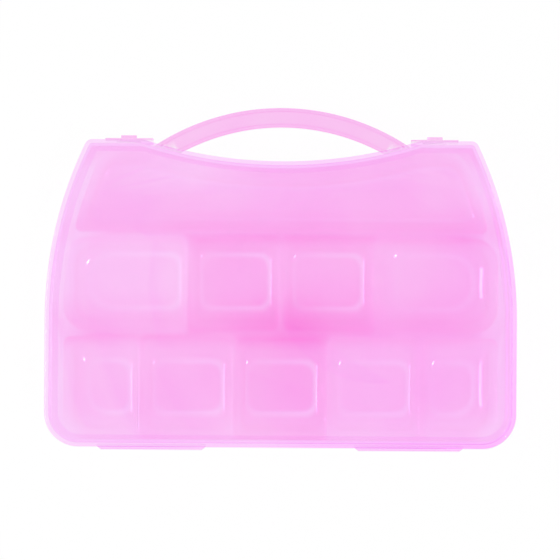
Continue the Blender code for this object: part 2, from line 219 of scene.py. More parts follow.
# Finish of the plastic. Clouds and ripples are noise, whose scale is a number of waves a metre.
case_finish = {"milkiness": 0.006, "roughness": 0.12, "grain": 0.1}
lid_finish = {"milkiness": 0.006, "roughness": 0.08, "grain": 0.1}
pale_finish = {"milkiness": 0.04, "roughness": 0.15, "grain": 0.2}
low_shine = 0.02
pale_shine = 0.03
high_shine = 0.04
edge_shine_gain = 0.01
edge_shine_power = 5.0
body_roughness = 0.3
glow_share = 0.5
veil_roughness = 0.02
veil_index = 1.00005
cloud_scale = 16.0
cloud_range = (0.3, 0.7)
cloud_gains = (0.88, 1.12)
ripple_scale = 120.0
ripple_height = 0.4 * MM
noise_detail = 2.0

# Table, light and camera
table_reach = 6.0
table_colour = (0.95, 0.95, 0.95, 1.0)
table_shadow_share = 0.025
world_strength = 0.65
lamp_aim = (0.0, 0.0, 20.0 * MM)
lamps = {"right_lamp": {"place": (0.533, -0.416, 1.45), "size": 0.12, "power": 4.0},
         "left_lamp": {"place": (-1.0, -0.05, 1.2), "size": 0.5, "power": 8.0}}
camera_sensor_width = 36.0
camera_lens = 450.0
camera_distance = 4.0
camera_side_angle = math.radians(0.8)
camera_roll = math.radians(0.37)
camera_aim_x = -0.5 * MM
camera_aim_y = -0.6 * MM

# Rays pass at most this many see-through faces, which a low view along the dividers needs
film_faces_in_a_row = 32
veil_faces_in_a_row = 18

# Curve resolution
lower_corner_steps = 14
side_arc_steps = 22
upper_corner_steps = 7
shoulder_steps = 8
waist_steps = 22
well_corner_steps = 8
well_side_steps = 12
scoop_steps = 12
round_steps = 5
soften_steps = 3
handle_steps = 96

side_arc_rise = outline_height - straight_side_height
shoulder_reach = outline_width / 2 - side_arc_radius + math.sqrt(side_arc_radius ** 2 - side_arc_rise ** 2)
waist_half_width = shoulder_reach - shoulder_width
waist_arc_radius = (waist_half_width ** 2 + waist_depth ** 2) / (2 * waist_depth)
waist_height = outline_height - waist_depth
latch_offset = shoulder_reach - latch_shoulder_margin - latch_width / 2
hinge_leaf_offset = outline_width / 2 - hinge_leaf_side_margin - hinge_leaf_width / 2
handle_top_height = waist_height + handle_opening_height + handle_band
handle_half_span = latch_offset - latch_width / 2 - handle_latch_gap
handle_rise = handle_top_height - (outline_height - bead_overhang)
handle_outer_radius = (handle_half_span ** 2 + handle_rise ** 2) / (2 * handle_rise)
case_depth = base_depth + lid_depth
tray_top = base_depth + tray_height_over_base
tray_floor_top = back_thickness + seat_gap + tray_thickness
bead_low = case_depth - bead_depth
panel_top = case_depth - panel_recess
outline_low = -(handle_top_height - hinge_leaf_reach) / 2
tray_inset = bead_overhang + wall_thickness + seat_gap
well_inset = tray_inset + tray_rim_ledge + tray_thickness
side_well_inset = tray_inset + side_land_width
upper_well_inset = tray_inset + upper_land_width
wall_top = outline_low + outline_height - bead_overhang


# Outlines

def arc(centre, radius, start, end, steps):
    """Points along an arc, both ends included."""
    points = []
    for step in range(steps + 1):
        angle = start + (end - start) * step / steps
        points.append((centre[0] + radius * math.cos(angle), centre[1] + radius * math.sin(angle)))
    return points


def straight(start, end, steps):
    """Points inside a straight run, without its ends."""
    points = []
    for step in range(1, steps):
        share = step / steps
        points.append((start[0] + (end[0] - start[0]) * share, start[1] + (end[1] - start[1]) * share))
    return points


def case_outline(inset):
    """The case's outline drawn in by the inset: always as many points, round from the hinge edge."""
    quarter = math.pi / 2
    half = outline_width / 2
    side_centre = (half - side_arc_radius, straight_side_height)
    corner = max(upper_corner_radius, inset + smallest_corner_radius)
    corner_y = outline_height - corner
    rise = corner_y - side_centre[1]
    corner_x = side_centre[0] + math.sqrt((side_arc_radius - corner) ** 2 - rise ** 2)
    side_end = math.atan2(rise, corner_x - side_centre[0])
    fillet = max(shoulder_fillet_radius, inset + smallest_corner_radius)
    fillet_y = outline_height - fillet
    waist_centre = (0.0, waist_height + waist_arc_radius)
    drop = waist_centre[1] - fillet_y
    fillet_x = math.sqrt((waist_arc_radius + fillet) ** 2 - drop ** 2)
    fillet_end = math.atan2(drop, -fillet_x)
    waist_start = math.atan2(fillet_y - waist_centre[1], fillet_x)
    lower_radius = max(lower_corner_radius - inset, smallest_corner_radius)
    lower_centre = (half - inset - lower_radius, inset + lower_radius)
    right = arc(lower_centre, lower_radius, -quarter, 0.0, lower_corner_steps)
    right += arc(side_centre, side_arc_radius - inset, 0.0, side_end, side_arc_steps)
    right += arc((corner_x, corner_y), corner - inset, side_end, quarter, upper_corner_steps)[1:]
    right += arc((fillet_x, fillet_y), fillet - inset, quarter, fillet_end, shoulder_steps)
    right += arc(waist_centre, waist_arc_radius + inset, waist_start, -quarter, waist_steps)[1:]
    left = [(-x, y) for x, y in reversed(right[:-1])]
    return [(x, y + outline_low) for x, y in right + left]


def side_reach(y, inset):
    """Half the width between the case's sides at a height above the hinge edge, less the inset."""
    above = max(y - straight_side_height, 0.0)
    return outline_width / 2 - side_arc_radius + math.sqrt((side_arc_radius - inset) ** 2 - above ** 2)


def top_edge(x, inset):
    """Height of the case's upper edge above the hinge edge, less the inset."""
    radius = waist_arc_radius + inset
    arc_height = waist_height + waist_arc_radius - math.sqrt(radius ** 2 - x ** 2)
    return min(arc_height, outline_height - inset)


# Meshes

def mesh_object(name, cage):
    """A smooth-shaded object made from the cage."""
    bmesh.ops.remove_doubles(cage, verts=cage.verts, dist=weld_distance)
    bmesh.ops.recalc_face_normals(cage, faces=cage.faces)
    mesh = bpy.data.meshes.new(name)
    cage.to_mesh(mesh)
    cage.free()
    item = bpy.data.objects.new(name, mesh)
    bpy.context.scene.collection.objects.link(item)
    smooth(item)
    return item


def smooth(item):
    """Smooth faces, sharp only at real corners."""
    item.data.shade_smooth()
    item.data.set_sharp_from_angle(angle=sharp_edge_angle)


def skin(cage, rings):
    """Faces between neighbouring rings of points; returns the rings' vertices."""
    placed = [[cage.verts.new(point) for point in ring] for ring in rings]
    for lower, upper in zip(placed, placed[1:]):
        for index in range(len(lower)):
            after = (index + 1) % len(lower)
            cage.faces.new((lower[index], lower[after], upper[after], upper[index]))
    return placed


def closed_loft(name, rings):
    """A closed solid through the rings, with a flat cap at each end."""
    cage = bmesh.new()
    placed = skin(cage, rings)
    cage.faces.new(placed[0])
    cage.faces.new(placed[-1])
    return mesh_object(name, cage)


def outline_rings(levels):
    """The case's outline at each inset and height."""
    return [[(x, y, z) for x, y in case_outline(inset)] for inset, z in levels]


def rounded(start_inset, start_z, end_inset, end_z, bulge_first_inset):
    """Points of a quarter round between two places; it leaves the first along the inset or the height."""
    points = []
    for step in range(round_steps + 1):
        angle = math.pi / 2 * step / round_steps
        along = math.sin(angle)
        across = 1.0 - math.cos(angle)
        share_inset = along if bulge_first_inset else across
        share_z = across if bulge_first_inset else along
        points.append((start_inset + (end_inset - start_inset) * share_inset,
                       start_z + (end_z - start_z) * share_z))
    return points


def apply_modifiers(item):
    """Replaces the object's mesh with the evaluated one."""
    bpy.context.view_layer.update()
    evaluated = item.evaluated_get(bpy.context.evaluated_depsgraph_get())
    mesh = bpy.data.meshes.new_from_object(evaluated)
    item.modifiers.clear()
    item.data = mesh


def combine(item, other, operation):
    """Joins the other solid to the item or cuts it out, and removes it."""
    modifier = item.modifiers.new(operation.lower(), "BOOLEAN")
    modifier.object = other
    modifier.operation = operation
    modifier.solver = "EXACT"
    apply_modifiers(item)
    bpy.data.objects.remove(other)


def soften_edges(item, radius):
    """Rounds the object's sharp edges."""
    modifier = item.modifiers.new("soften", "BEVEL")
    modifier.limit_method = "ANGLE"
    modifier.angle_limit = sharp_edge_angle
    modifier.width = radius
    modifier.segments = soften_steps
    modifier.harden_normals = False
    apply_modifiers(item)
    smooth(item)


def block(name, low, high):
    """A box between two corners."""
    ring = [(low[0], low[1]), (high[0], low[1]), (high[0], high[1]), (low[0], high[1])]
    return closed_loft(name, [[(x, y, z) for x, y in ring] for z in (low[2], high[2])])


# The base's shell

def make_base():
    """The base: a rounded pan with a rim, and the roots of the two latches."""
    outer = bead_overhang
    inner = bead_overhang + wall_thickness
    rim = base_depth - seat_gap / 2
    edge = rim_edge_radius
    floor_fillet = back_edge_radius - wall_thickness
    levels = [(outer + back_edge_radius + flat_ring, 0.0)]
    levels += rounded(outer + back_edge_radius, 0.0, outer, back_edge_radius, True)
    levels += rounded(outer, rim - edge, outer + edge, rim, False)
    levels += rounded(inner - edge, rim, inner, rim - edge, True)
    levels += rounded(inner, back_thickness + floor_fillet, inner + floor_fillet, back_thickness, False)
    levels.append((inner + floor_fillet + flat_ring, back_thickness))
    base = closed_loft("base_moulding", outline_rings(levels))
    face = wall_top + latch_stand_off + latch_thickness
    root_high = latch_hinge_height - seat_gap / 2
    for side in (-1, 1):
        middle = side * latch_offset
        low = (middle - latch_width / 2, wall_top - wall_thickness / 2, root_high - latch_root_depth)
        high = (middle + latch_width / 2, face, root_high)
        combine(base, block("latch_root", low, high), "UNION")
    smooth(base)
    return base


# The tray

corner_places = (("upper_right", 1, 1), ("upper_left", -1, 1),
                 ("lower_left", -1, -1), ("lower_right", 1, -1))
side_order = ("top", "left", "bottom", "right")


class Well:
    """One compartment: its colour depth with painted light and shade, the painted highlight round its floor,
    the lines round its mouth, its corners' radii and its scoops.
    """

    def __init__(self, depth, floor_highlight, left, right, low, high, follows=(), radii=None, scoops=None):
        self.depth = depth
        self.floor_highlight = floor_highlight
        self.sides = {"left": left, "right": right, "bottom": low, "top": high}
        self.follows = follows
        self.floor_shares = () if follows else floor_shares
        self.radii = radii or {}
        self.scoops = {"left": side_scoop, "right": side_scoop, "bottom": end_scoop, "top": end_scoop}
        self.scoops.update(scoops or {})

    def unit_loop(self, radius, half_x, half_y):
        """A rounded rectangle as shares of the well's section, from -1 to 1 across and up."""
        corners = []
        for quarter, (corner, sign_x, sign_y) in enumerate(corner_places):
            own = min(max(self.radii.get(corner, radius), radius), half_x, half_y)
            centre = (sign_x * (half_x - own), sign_y * (half_y - own))
            start = quarter * math.pi / 2
            corners.append(arc(centre, own, start, start + math.pi / 2, well_corner_steps))
        loop = []
        for side, points, following in zip(side_order, corners, corners[1:] + corners[:1]):
            loop += points
            curved = side == "top" and side in self.follows
            loop += straight(points[-1], following[0], waist_steps * 2 if curved else well_side_steps)
        return [(x / half_x, y / half_y) for x, y in loop]

    def loop(self, bend, out, radius, z):
        """The well's section at one height: how far its scoops have bent in, and drawn in all round."""
        drawn = {side: bend * scoop + out for side, scoop in self.scoops.items()}
        left = self.sides["left"] + drawn["left"]
        right = self.sides["right"] - drawn["right"]
        low = self.sides["bottom"] + drawn["bottom"]
        high = self.sides["top"] - drawn["top"]
        points = []
        for u, v in self.unit_loop(radius, (right - left) / 2, (high - low) / 2):
            y = low + (high - low) * (v + 1) / 2
            near = left
            far = right
            if "left" in self.follows:
                near = -side_reach(y, side_well_inset + drawn["left"])
            if "right" in self.follows:
                far = side_reach(y, side_well_inset + drawn["right"])
            x = near + (far - near) * (u + 1) / 2
            if "top" in self.follows:
                y = low + (top_edge(x, upper_well_inset + drawn["top"]) - low) * (v + 1) / 2
            points.append((x, y + outline_low, z))
        return points

    def rings(self, thickness, top, mouth_radius):
        """Rings from the land round the mouth down to the floor, or outside the wall of that thickness."""
        radius = well_corner_radius + thickness
        floor_radius = well_floor_corner_radius + thickness
        rings = [self.loop(0.0, -thickness - mouth_radius - flat_ring / 2, radius, top)]
        for step in range(round_steps + 1):
            angle = math.pi / 2 * step / round_steps
            out = -thickness - mouth_radius * (1.0 - math.sin(angle))
            rings.append(self.loop(0.0, out, radius, top - mouth_radius * (1.0 - math.cos(angle))))
        for step in range(scoop_steps + 1):
            angle = math.pi / 2 * step / scoop_steps
            bend = 1.0 - math.cos(angle)
            z = tray_floor_top + scoop_height * (1.0 - math.sin(angle)) - thickness * math.sin(angle)
            corner = radius + (floor_radius - radius) * bend
            rings.append(self.loop(bend, well_draft - thickness * math.cos(angle), corner, z))
        for inset in floor_insets:
            rings.append(self.loop(1.0, well_draft + inset, floor_radius, tray_floor_top - thickness))
        floor = [Vector(point) for point in rings[-1]]
        across = [point.x for point in floor]
        up = [point.y for point in floor]
        middle = Vector(((min(across) + max(across)) / 2, (min(up) + max(up)) / 2, floor[0].z))
        rings += [[middle.lerp(point, share) for point in floor] for share in self.floor_shares]
        return rings

    def edge_depth(self, u, v, inward):
        """Colour depth of the wall: nearer the columns' depth at its sides, and pale with painted light by
        the case's sides.
        """
        side_pull = abs(u) ** corner_sharpness
        end_pull = abs(v) ** corner_sharpness
        side_share = side_pull / (side_pull + end_pull) * column_share
        depth = self.depth + (column_depth - self.depth) * side_share * inward
        return depth - outer_painted_light * (1.0 - inward)

    def depth_at(self, place, u, v, on_land, step):
        """Colour depth, u across and v up a ring: on the land, or some steps past the scoop's start; with
        the rows' painted shade, and a painted highlight at the floor's edge.
        """
        inward = from_side(place)
        edge = self.edge_depth(u, v, inward)
        shade = row_shade(place)
        # Painted highlight round the floor, strongest at the lower right
        floor_highlight = self.floor_highlight * (1.0 + foot_light * (u - foot_lean * v))
        if on_land:
            outer = side_land(place)
            return outer + (edge + shade - outer) * inward
        if step <= 0:
            return edge + shade
        if step <= scoop_steps:
            bend = 1.0 - math.cos(math.pi / 2 * step / scoop_steps)
            floor_highlight *= max(0.0, (bend - foot_start) / (1.0 - foot_start))
            return edge + (self.depth - edge) * min(1.0, bend / scoop_shade_end) + shade - floor_highlight
        if step == scoop_steps + 1:
            return self.depth + shade - floor_highlight * (1.0 - flat_ring / foot_width)
        return self.depth + shade

    def paint(self, layer, placed):
        """Colour depths down the well, with a painted highlight in a line round its floor, strongest at the
        lower right.
        """
        scoop_start = len(placed) - len(self.floor_shares) - len(floor_insets) - scoop_steps - 1
        for number, ring in enumerate(placed):
            across = [vertex.co.x for vertex in ring]
            up = [vertex.co.y for vertex in ring]
            middle = ((min(across) + max(across)) / 2, (min(up) + max(up)) / 2)
            reach = ((max(across) - min(across)) / 2, (max(up) - min(up)) / 2)
            for vertex in ring:
                u = (vertex.co.x - middle[0]) / reach[0]
                v = (vertex.co.y - middle[1]) / reach[1]
                vertex[layer] = self.depth_at(vertex.co, u, v, number == 0, number - scoop_start)


def compartments():
    """The ten compartments: five below, four in the middle row, and a long one on top."""
    row_half = row_land_width / 2
    column_half = column_land_width / 2
    edge = outline_width / 2 - side_well_inset
    upper = waist_height - top_row_height
    lower = upper - middle_row_height
    wide = wide_well_corner_radius
    wells = []
    for place in range(-2, 3):
        left = (place - 0.5) * column_pitch + column_half
        right = (place + 0.5) * column_pitch - column_half
        radii = {}
        scoops = {}
        if place == -2:
            left = -edge
            radii = {"lower_left": wide}
            scoops = {"left": outer_scoop}
        if place == 2:
            right = edge
            radii = {"lower_right": wide}
            scoops = {"right": outer_scoop}
        wells.append(Well(lower_well_shade_depths[place + 2], lower_well_floor_highlights[place + 2], left, right,
                          well_inset, lower - row_half, radii=radii, scoops=scoops))
    for place in (-1, 0, -2, 1):
        left = place * column_pitch + column_half
        right = (place + 1) * column_pitch - column_half
        radii = {}
        scoops = {"top": middle_upper_scoop, "bottom": middle_lower_scoop}
        if place == -2:
            left = -edge
            radii = {"upper_left": wide, "lower_left": wide}
            scoops.update(left=outer_scoop, right=wide_well_right_scoop)
        if place == 1:
            right = edge
            radii = {"upper_right": wide, "lower_right": wide}
            scoops.update(left=wide_well_left_scoop, right=outer_scoop)
        wells.append(Well(middle_well_shade_depths[place + 2], middle_well_floor_highlights[place + 2], left, right,
                          lower + row_half, upper - row_half, radii=radii, scoops=scoops))
    wells.append(Well(top_well_shade_depth, top_well_floor_highlight, -edge, edge,
                      upper + row_half, outline_height - upper_well_inset,
                      follows=("left", "right", "top"),
                      scoops={"top": long_well_scoop, "bottom": long_well_scoop}))
    return wells


def bell(offset, below, above):
    """A smooth bump: 1 in its middle, with a reach of its own on either side."""
    return math.exp(-(offset / (above if offset > 0.0 else below)) ** 2)


def row_shade(place):
    """Painted shade in bands towards the lands between the rows, the lower band deeper at the left and in a
    patch in the middle; painted light on the upper band at the left, in a spot at the upper left and by the
    hinge edge.
    """
    height = place.y - outline_low
    upper = waist_height - top_row_height
    lower = upper - middle_row_height
    left = bell(place.x - upper_row_left_x, upper_row_left_reach, upper_row_left_reach)
    upper_gain = upper_row_shade * (1.0 - upper_row_left_light * left)
    lower_gain = lower_row_shade - lower_row_shade_lean * place.x / (outline_width / 2)
    lower_gain += shade_spot_gain * bell(place.x - shade_spot_x, shade_spot_reach, shade_spot_reach)
    shade = upper_gain * bell(height - upper, upper_row_below, upper_row_above)
    shade += lower_gain * bell(height - lower, lower_row_below, lower_row_above)
    shade -= hinge_edge_light * bell(height - hinge_edge_height, hinge_edge_reach, hinge_edge_reach)
    pale = bell(place.x - light_spot_x, light_spot_reach, light_spot_reach)
    return shade - light_spot_gain * pale * bell(height - light_spot_height, light_spot_rise, light_spot_rise)


def side_land(place):
    """Colour depth of the land along the case's sides: pale with painted light, deeper with painted shade on
    the right and with the rows' painted shade, and deeper along the top.
    """
    below = top_edge(place.x, upper_well_inset) - (place.y - outline_low)
    upper = upper_land_gain * min(max(1.0 - below / upper_land_reach, 0.0), 1.0)
    lean = side_land_shade_lean * (1.0 + place.x / (outline_width / 2))
    return lit_side_land_depth + lean + upper + side_land_share * max(row_shade(place), 0.0)


def from_side(place):
    """0 on the land along the case's sides, rising to 1 a wide corner's radius inside it."""
    inside = side_reach(place.y - outline_low, side_well_inset) - abs(place.x)
    return min(max(inside / wide_well_corner_radius, 0.0), 1.0)


def ring_edges(cage, ring):
    """The edges round a ring of vertices."""
    edges = []
    for index, vertex in enumerate(ring):
        after = ring[(index + 1) % len(ring)]
        edges.append(cage.edges.get((vertex, after)) or cage.edges.new((vertex, after)))
    return edges


def make_tray():
    """The tray: a flat land with ten scooped wells hanging from it."""
    cage = bmesh.new()
    layer = cage.verts.layers.float.new("colour_depth_and_shade")
    under = tray_top - tray_thickness
    edge = tray_edge_radius
    rim_levels = [(tray_inset + edge + flat_ring, tray_top)]
    rim_levels += rounded(tray_inset + edge, tray_top, tray_inset, tray_top - edge, True)
    lower_edge = tray_lower_edge_radius
    rim_levels += rounded(tray_inset, under + lower_edge, tray_inset + lower_edge, under, False)
    rim = skin(cage, outline_rings(rim_levels))
    land_edges = ring_edges(cage, rim[0])
    under_edges = ring_edges(cage, rim[-1])
    for ring in rim:
        for vertex in ring:
            vertex[layer] = side_land(vertex.co)
    for well in compartments():
        inside = skin(cage, well.rings(0.0, tray_top, mouth_edge_radius))
        count = len(cage.faces)
        outside = skin(cage, well.rings(tray_thickness, under, 0.0))
        cage.faces.ensure_lookup_table()
        for face in cage.faces[count:]:
            face.material_index = 1
        cage.faces.new(inside[-1])
        cage.faces.new(outside[-1]).material_index = 1
        well.paint(layer, inside)
        well.paint(layer, outside)
        land_edges += ring_edges(cage, inside[0])
        under_edges += ring_edges(cage, outside[0])
    bmesh.ops.triangle_fill(cage, use_beauty=True, use_dissolve=False, edges=land_edges, normal=(0, 0, 1))
    bmesh.ops.triangle_fill(cage, use_beauty=True, use_dissolve=False, edges=under_edges, normal=(0, 0, 1))
    return mesh_object("tray_moulding", cage)


# The lid

def make_lid():
    """The lid: a recessed panel inside a raised bead, its short wall and the two keepers."""
    wall_low = base_depth + seat_gap / 2
    outer = bead_overhang
    inner = bead_overhang + wall_thickness
    ceiling = panel_top - lid_panel_thickness
    bead = bead_edge_radius
    step_radius = bead_inner_radius
    edge = rim_edge_radius
    levels = [(bead_width + step_radius + flat_ring, panel_top)]
    levels += rounded(bead_width + step_radius / 2, panel_top, bead_width, panel_top + step_radius / 2, True)
    levels += rounded(bead_width, case_depth - step_radius / 2, bead_width - step_radius, case_depth, False)
    levels += rounded(bead, case_depth, 0.0, case_depth - bead, True)
    levels += rounded(0.0, bead_low + bead, bead, bead_low, False)
    levels += rounded(outer - edge, bead_low, outer, bead_low - edge, True)
    levels += rounded(outer, wall_low + edge, outer + edge, wall_low, False)
    levels += rounded(inner - edge, wall_low, inner, wall_low + edge, True)
    levels += rounded(inner, ceiling - step_radius, inner + step_radius, ceiling, False)
    levels.append((inner + step_radius + flat_ring, ceiling))
    lid = closed_loft("lid_moulding", outline_rings(levels))
    keeper_low = base_depth + keeper_height_over_base
    for side in (-1, 1):
        middle = side * latch_offset
        low = (middle - catch_width / 2, wall_top - wall_thickness / 2, keeper_low)
        high = (middle + catch_width / 2, wall_top + catch_rise, keeper_low + catch_thickness)
        combine(lid, block("keeper", low, high), "UNION")
    panel_faces = sorted(lid.data.polygons, key=lambda face: face.area)[-2:]
    for face in panel_faces:
        face.material_index = 1
    smooth(lid)
    return lid


# The handle

def handle_section():
    """Round the handle's section: radius and height, an I shape with rounded edges and fillets."""
    outer = handle_outer_radius
    inner = outer - handle_band
    outer_web = outer - handle_flange_thickness
    inner_web = inner + handle_flange_thickness
    low = handle_back_height
    high = low + handle_depth
    web_low = (low + high) / 2 - handle_web_thickness / 2
    web_high = (low + high) / 2 + handle_web_thickness / 2
    edge = handle_edge_radius
    fillet = handle_fillet_radius
    corners = [(outer, low, edge), (outer, high, edge), (outer_web, high, edge)]
    corners += [(outer_web, web_high, fillet), (inner_web, web_high, fillet)]
    corners += [(inner_web, high, edge), (inner, high, edge), (inner, low, edge), (inner_web, low, edge)]
    corners += [(inner_web, web_low, fillet), (outer_web, web_low, fillet), (outer_web, low, edge)]
    section = []
    count = len(corners)
    for index, (x, y, radius) in enumerate(corners):
        here = Vector((x, y))
        before = (Vector(corners[index - 1][:2]) - here).normalized()
        after = (Vector(corners[(index + 1) % count][:2]) - here).normalized()
        centre = here + before * radius + after * radius
        for step in range(round_steps):
            angle = math.pi / 2 * step / (round_steps - 1)
            section.append(centre - after * radius * math.cos(angle) - before * radius * math.sin(angle))
    return section


def make_handle():
    """The arched handle, its feet trimmed to the case's upper wall."""
    foot_rise = outline_height - handle_foot_depth - (handle_top_height - handle_outer_radius)
    half_angle = math.acos(foot_rise / handle_outer_radius)
    centre_y = outline_low + handle_top_height - handle_outer_radius
    section = handle_section()
    rings = []
    for step in range(handle_steps + 1):
        angle = math.pi / 2 - half_angle + 2 * half_angle * step / handle_steps
        rings.append([(radius * math.cos(angle), centre_y + radius * math.sin(angle), z)
                      for radius, z in section])
    handle = closed_loft("handle_moulding", rings)
    low = handle_back_height - cut_overrun
    high = handle_back_height + handle_depth + cut_overrun
    seat_inset = bead_overhang - seat_gap
    seat = closed_loft("handle_seat", outline_rings([(seat_inset, low), (seat_inset, high)]))
    combine(handle, seat, "DIFFERENCE")
    smooth(handle)
    return handle


# Latches and hinges

def make_latch(word, side):
    """A snap latch: a plate with a hook behind it and a thumb lip in front."""
    inner_face = wall_top + latch_stand_off
    outer_face = inner_face + latch_thickness
    low = latch_hinge_height + seat_gap / 2
    high = bead_low - latch_top_clearance
    middle = side * latch_offset
    half = latch_width / 2
    latch = block("latch_" + word + "_clip", (middle - half, inner_face, low),
                  (middle + half, outer_face, high))
    hook_low = base_depth + keeper_height_over_base + catch_thickness + seat_gap
    catch_half = catch_width / 2
    hook_root = inner_face + latch_thickness / 2
    combine(latch, block("hook", (middle - catch_half, inner_face - catch_rise, hook_low),
                         (middle + catch_half, hook_root, hook_low + catch_thickness)), "UNION")
    lip_half = thumb_lip_width / 2
    combine(latch, block("thumb_lip", (middle - lip_half, hook_root, high - thumb_lip_thickness),
                         (middle + lip_half, outer_face + thumb_lip_reach, high)), "UNION")
    soften_edges(latch, small_edge_radius)
    return latch


def make_leaf(name, side, low, high):
    """A wide flat hinge leaf with chamfered ends."""
    middle = side * hinge_leaf_offset
    half = hinge_leaf_width / 2
    wall = outline_low + bead_overhang - seat_gap
    edge = outline_low - hinge_leaf_reach
    steps = [(half, wall), (half, outline_low + seat_gap), (half, outline_low)]
    steps.append((half - hinge_leaf_chamfer, edge))
    rings = []
    for reach, y in steps:
        left = middle - reach
        right = middle + reach
        rings.append([(left, y, low), (right, y, low), (right, y, high), (left, y, high)])
    leaf = closed_loft(name, rings)
    soften_edges(leaf, small_edge_radius)
    return leaf


# Materials

def empty_tree(owner):
    """The node tree of a material or a world, switched on and emptied."""
    owner.use_nodes = True
    owner.node_tree.nodes.clear()
    return owner.node_tree


def node(tree, kind, values=None, **settings):
    """A new node with its settings, and the plain values of its inputs by their names or numbers."""
    made = tree.nodes.new(kind)
    for key, value in settings.items():
        setattr(made, key, value)
    for socket, value in (values or {}).items():
        made.inputs[socket].default_value = value
    return made


def mixed(tree, share, first, second):
    """Two shaders mixed; the second one's share is a number or another node's output."""
    made = node(tree, "ShaderNodeMixShader")
    if isinstance(share, float):
        made.inputs[0].default_value = share
    else:
        tree.links.new(share, made.inputs[0])
    tree.links.new(first, made.inputs[1])
    tree.links.new(second, made.inputs[2])
    return made.outputs[0]


def blended(tree, share, first, second, clamped):
    """Two colours mixed by another node's output; unclamped, the mix goes on past the second."""
    made = node(tree, "ShaderNodeMix", {"A": (*first, 1.0), "B": (*second, 1.0)},
                data_type="RGBA", clamp_factor=clamped)
    tree.links.new(share, made.inputs["Factor"])
    return made.outputs["Result"]


def remapped(tree, value, target, source=(0.0, 1.0)):
    """A value moved from its source range to the target range."""
    made = node(tree, "ShaderNodeMapRange", {"From Min": source[0], "From Max": source[1],
                                             "To Min": target[0], "To Max": target[1]})
    tree.links.new(value, made.inputs["Value"])
    return made.outputs["Result"]


def noise(tree, scale):
    """Soft noise in the piece's own coordinates."""
    place = node(tree, "ShaderNodeTexCoord")
    made = node(tree, "ShaderNodeTexNoise", {"Scale": scale, "Detail": noise_detail})
    tree.links.new(place.outputs["Object"], made.inputs["Vector"])
    return made.outputs["Fac"]


def clear_share(tree, kind, tint, clouds):
    """The clear share: a film lets light straight through, a veil is faintly frosted."""
    # The painted colour depth, painted light and shade included, sets the tint
    painted = node(tree, "ShaderNodeAttribute", attribute_name="colour_depth_and_shade")
    depth = node(tree, "ShaderNodeMath", operation="MULTIPLY")
    tree.links.new(painted.outputs["Fac"], depth.inputs[0])
    tree.links.new(remapped(tree, clouds, cloud_gains, cloud_range), depth.inputs[1])
    colour = blended(tree, depth.outputs[0], (1.0, 1.0, 1.0), tint, False)
    if kind == "film":
        clear = node(tree, "ShaderNodeBsdfTransparent")
    else:
        clear = node(tree, "ShaderNodeBsdfGlass", {"Roughness": veil_roughness, "IOR": veil_index},
                     distribution="MULTI_GGX")
    tree.links.new(colour, clear.inputs["Color"])
    return clear.outputs[0]


def milky_share(tree, body, clouds, normal):
    """The milky share: light scattered back by the surface and light that glows through."""
    deeper = [value * share for value, share in zip(body, cloud_body_shares)]
    colour = blended(tree, clouds, body, deeper, True)
    surface = node(tree, "ShaderNodeBsdfPrincipled", {"Roughness": body_roughness})
    tree.links.new(colour, surface.inputs["Base Color"])
    tree.links.new(normal, surface.inputs["Normal"])
    glow = node(tree, "ShaderNodeBsdfTranslucent")
    tree.links.new(colour, glow.inputs["Color"])
    return mixed(tree, glow_share, surface.outputs[0], glow.outputs[0])


def glossed(tree, under, shine, roughness, normal):
    """A mirror's share over the shader, a little more where the surface turns away."""
    facing = node(tree, "ShaderNodeLayerWeight")
    turned = node(tree, "ShaderNodeMath", {1: edge_shine_power}, operation="POWER")
    tree.links.new(facing.outputs["Facing"], turned.inputs[0])
    share = remapped(tree, turned.outputs[0], (shine, shine + edge_shine_gain))
    mirror = node(tree, "ShaderNodeBsdfGlossy", {"Roughness": roughness})
    tree.links.new(normal, mirror.inputs["Normal"])
    return mixed(tree, share, under, mirror.outputs[0])


def plastic(name, kind, tint, body, shine, milkiness, roughness, grain):
    """Tinted plastic: a clear share of the kind veil or film, a milky share, and a gloss."""
    material = bpy.data.materials.new(name)
    tree = empty_tree(material)
    clouds = noise(tree, cloud_scale)
    relief = node(tree, "ShaderNodeBump", {"Strength": grain, "Distance": ripple_height})
    tree.links.new(noise(tree, ripple_scale), relief.inputs["Height"])
    normal = relief.outputs["Normal"]
    clear = clear_share(tree, kind, tint, clouds)
    under = mixed(tree, milkiness, clear, milky_share(tree, body, clouds, normal))
    output = node(tree, "ShaderNodeOutputMaterial")
    tree.links.new(glossed(tree, under, shine, roughness, normal), output.inputs["Surface"])
    return material


def paint_depth_and_shade(item, depth_and_shade_at):
    """How deep the plastic's colour is at each point of the piece, painted light and shade included; 1 is
    the usual depth.
    """
    values = [depth_and_shade_at(vertex.co) for vertex in item.data.vertices]
    attribute = item.data.attributes.new("colour_depth_and_shade", "FLOAT", "POINT")
    attribute.data.foreach_set("value", values)


def dress(item, looks, depth_and_shade_at, body, slot, *nodes):
    """Gives the piece its materials, its body and the CAD nodes that it stands for; the slot is not used."""
    if depth_and_shade_at:
        paint_depth_and_shade(item, depth_and_shade_at)
    for look in looks:
        item.data.materials.append(look)
    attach(item, body)
    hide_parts(*nodes)


case_looks = [plastic("case_plastic_look", "film", pink_tint, pink_body, low_shine, **case_finish)]
tray_looks = [plastic("tray_plastic_look", "veil", tray_tint, pink_body, high_shine, **case_finish),
              plastic("tray_underside_look", "film", tray_tint, pink_body, low_shine, **case_finish)]
lid_looks = [plastic("lid_rim_look", "film", pink_tint, pink_body, high_shine, **lid_finish),
             plastic("lid_panel_look", "film", pink_tint, pink_body, low_shine, **lid_finish)]
handle_looks = [plastic("handle_plastic_look", "film", pale_tint, pale_body, pale_shine, **pale_finish)]
latch_looks = [plastic("latch_plastic_look", "film", pale_tint, pale_body, pale_shine, **pale_finish)]


